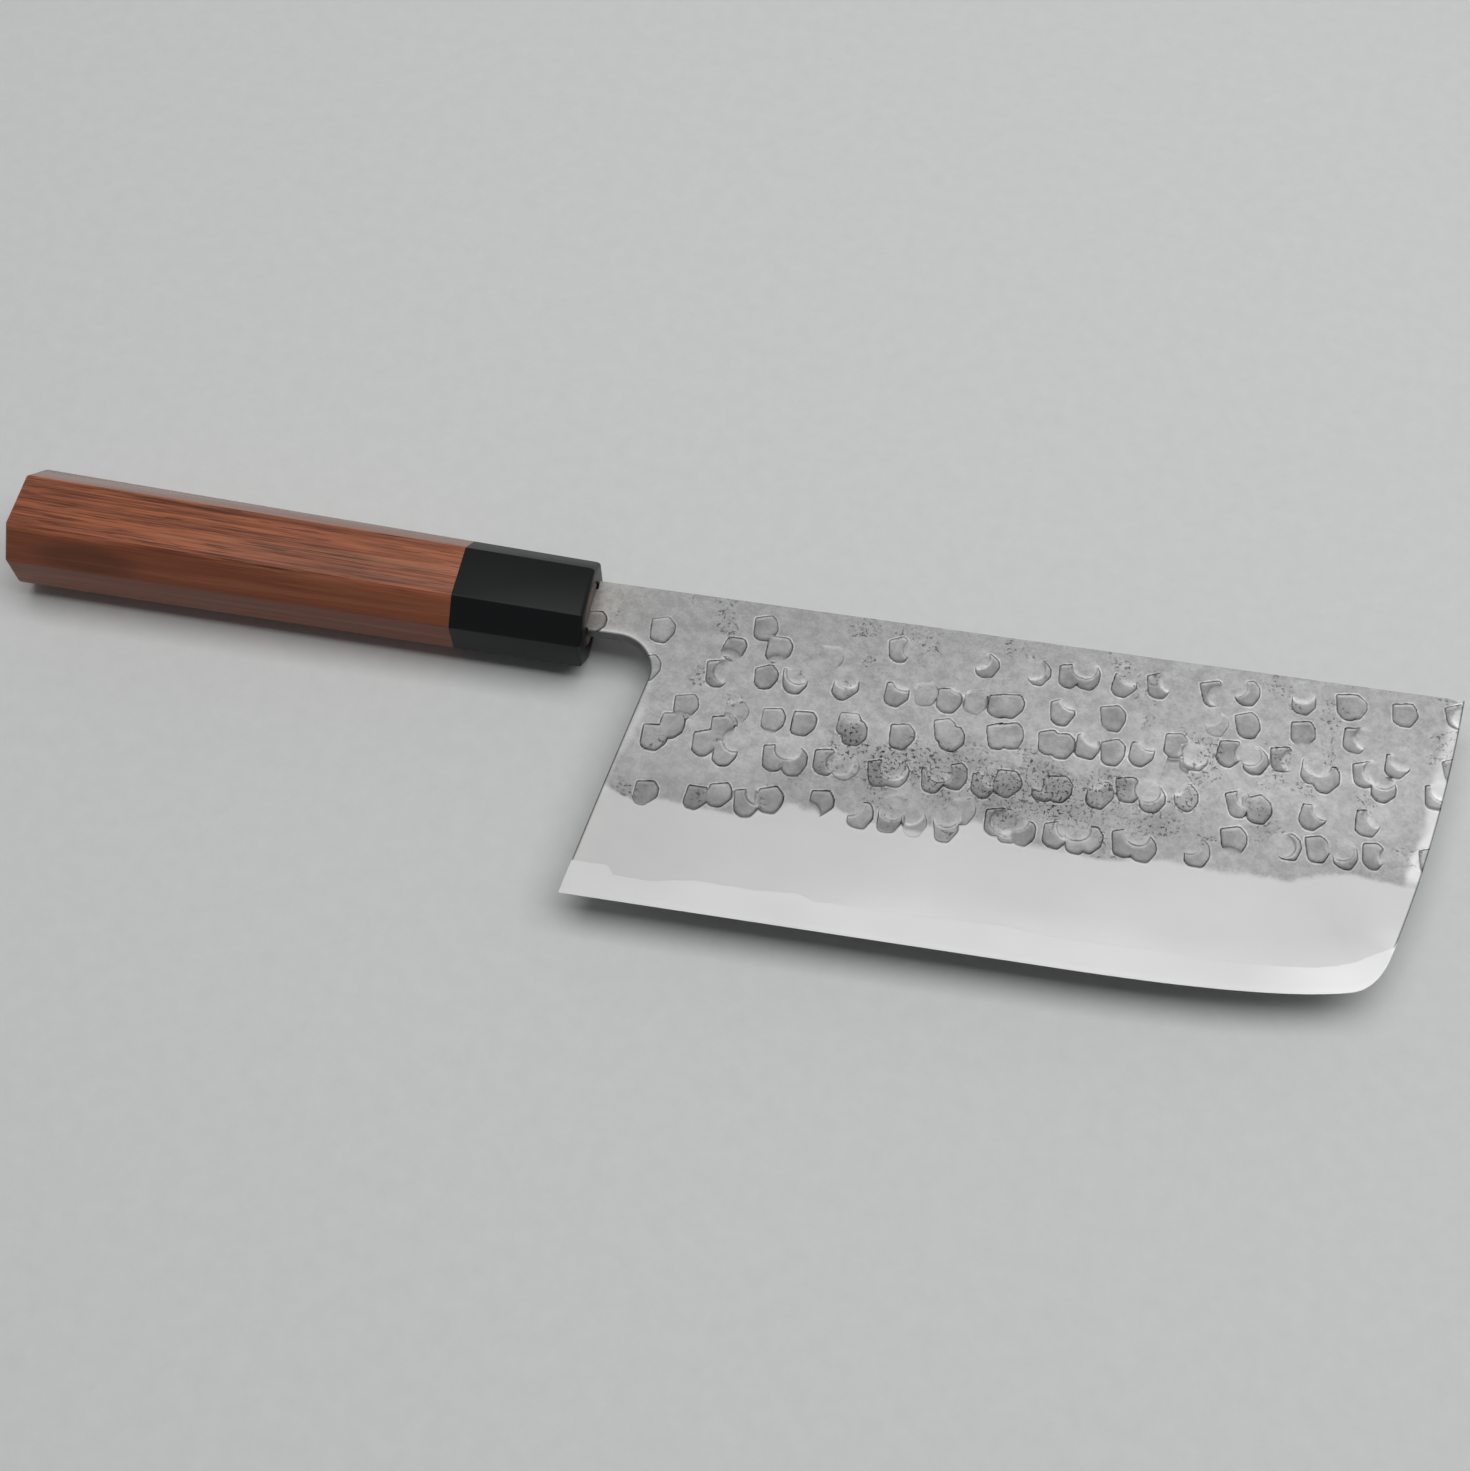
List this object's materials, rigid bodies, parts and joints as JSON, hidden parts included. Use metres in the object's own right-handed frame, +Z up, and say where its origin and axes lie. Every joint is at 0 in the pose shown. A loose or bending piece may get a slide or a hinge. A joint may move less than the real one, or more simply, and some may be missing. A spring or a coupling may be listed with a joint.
{
  "type": "nakiri knife",
  "caption": "Straight-edged vegetable knife with a tall hammered and laminated blade, a black ferrule and an octagonal wooden handle.",
  "frame": {"origin": "under the centre of the knife's box, on the surface that it lies on", "axes": "+X along the handle's axis towards the tip, +Y towards the spine, +Z up out of the blade's right face"},
  "size_m": [0.3206, 0.079, 0.0209],
  "materials": {
    "core_steel": "fine polished edge steel",
    "cladding_steel": "hammered and pitted above, satin ground below",
    "dowel_wood": "bare",
    "ferrule_black": "polished",
    "handle_wood": "oiled satin"
  },
  "bodies": {
    "root": {"core_steel": "core_steel", "cladding_right": "cladding_steel", "cladding_left": "cladding_steel", "dowel": "dowel_wood", "ferrule": "ferrule_black", "handle_body": "handle_wood"}
  },
  "joints": []
}
